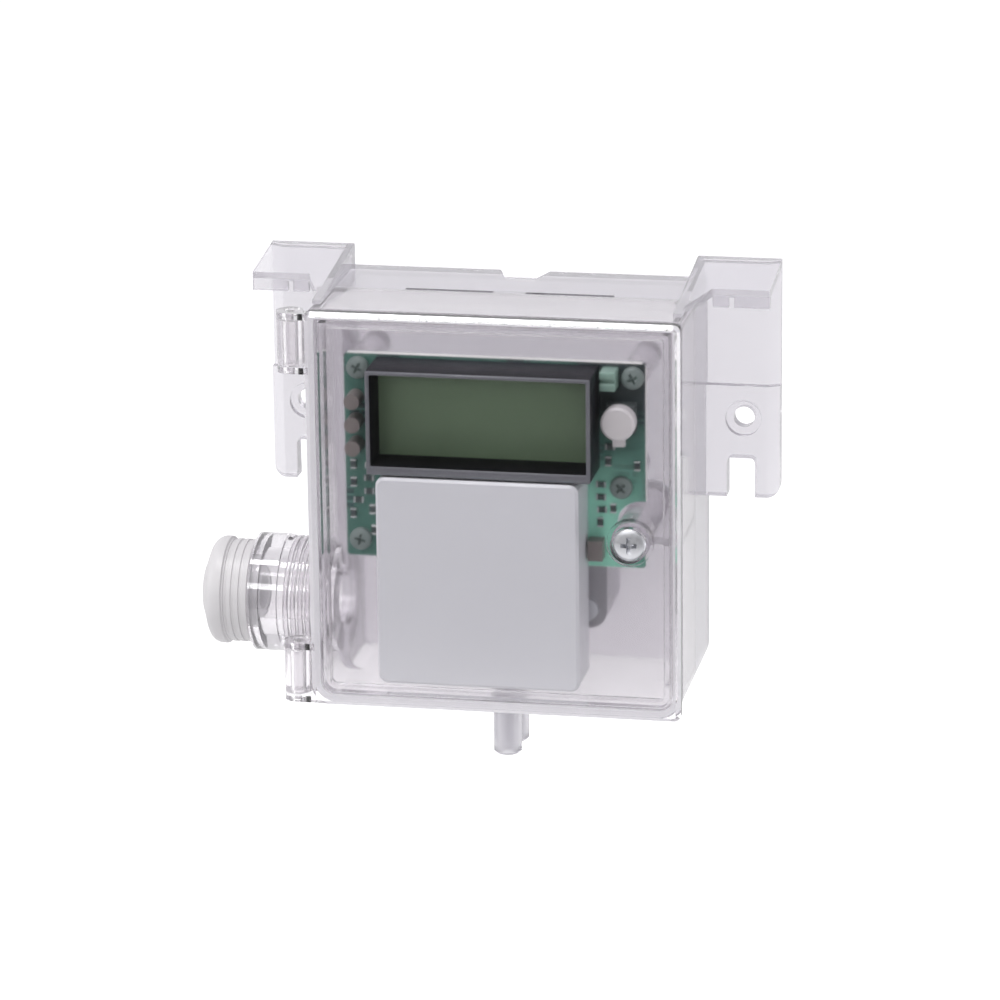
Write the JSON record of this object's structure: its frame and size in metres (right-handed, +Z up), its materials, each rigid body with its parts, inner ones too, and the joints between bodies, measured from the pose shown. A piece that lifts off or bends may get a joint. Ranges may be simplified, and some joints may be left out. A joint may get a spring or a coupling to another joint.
{
  "type": "pressure transmitter",
  "caption": "Wall-mounted differential pressure transmitter in a clear case with a hinged door, display, button, cable gland and hose nipples.",
  "frame": {"origin": "on the wall plane, midway between the two wall screws", "axes": "+Z up, front towards -Y, +Y into the wall, +X to the viewer's right"},
  "size_m": [0.1232, 0.041, 0.1087],
  "materials": {
    "clear_bracket": "clear gloss",
    "clear_case": "clear gloss",
    "clear_door": "clear gloss",
    "clear_rubber": "matt",
    "steel": "satin",
    "light_grey_plastic": "satin",
    "black_rubber": "matt",
    "board_green": "satin",
    "black_plastic": "satin",
    "display_glass": "gloss",
    "cover_grey": "satin",
    "board_part_green": "satin",
    "white_plastic": "satin",
    "pale_green_plastic": "satin",
    "capacitor_brown": "gloss",
    "nipple_grey": "satin",
    "silicone": "matt",
    "aluminium": "satin",
    "brass": "gloss"
  },
  "bodies": {
    "base": {"mounting_bracket": "clear_bracket", "housing": "clear_case", "door_seal": "clear_rubber", "hinge_pins": "clear_case", "gland_seal": "clear_rubber", "gland_clamp_ring": "light_grey_plastic", "main_pcb": "board_green", "pcb_screws": "clear_case", "lcd_shroud": "black_plastic", "lcd_panel": "display_glass", "lcd_contact_strips": "black_rubber", "terminal_cover": "cover_grey", "terminal_block": "board_part_green", "terminal_screws": "steel", "zero_switch": "black_plastic", "output_jumper": "pale_green_plastic", "pcb_chips": "black_plastic", "pcb_capacitors": "capacitor_brown", "front_chamber": "nipple_grey", "rear_chamber": "nipple_grey", "diaphragm": "silicone", "diaphragm_disc": "aluminium", "sensing_beam": "white_plastic", "chamber_screws": "steel", "cell_pins": "brass"},
    "door": {"front_door": "clear_door"},
    "door_fastener": {"door_screw": "steel"},
    "gland_cap": {"gland_nut": "light_grey_plastic"},
    "button": {"zero_button": "white_plastic"}
  },
  "joints": [
    {"name": "door_hinge", "type": "hinge", "parent": "base", "child": "door", "pos_m": [-0.0434, -0.038, 0], "axis": [0, 0, -1], "range_deg": [0, 120]},
    {"name": "door_screw_turn", "type": "hinge", "parent": "door", "child": "door_fastener", "pos_m": [0.029, -0.041, -0.0182], "axis": [0, -1, 0], "continuous": true},
    {"name": "gland_nut_turn", "type": "hinge", "parent": "base", "child": "gland_cap", "pos_m": [-0.06, -0.0195, -0.039], "axis": [-1, 0, 0], "continuous": true},
    {"name": "zero_button_press", "type": "slide", "parent": "base", "child": "button", "axis": [0, 1, 0], "range_m": [0, 0.0005], "stiffness_N_per_m": 2000}
  ]
}
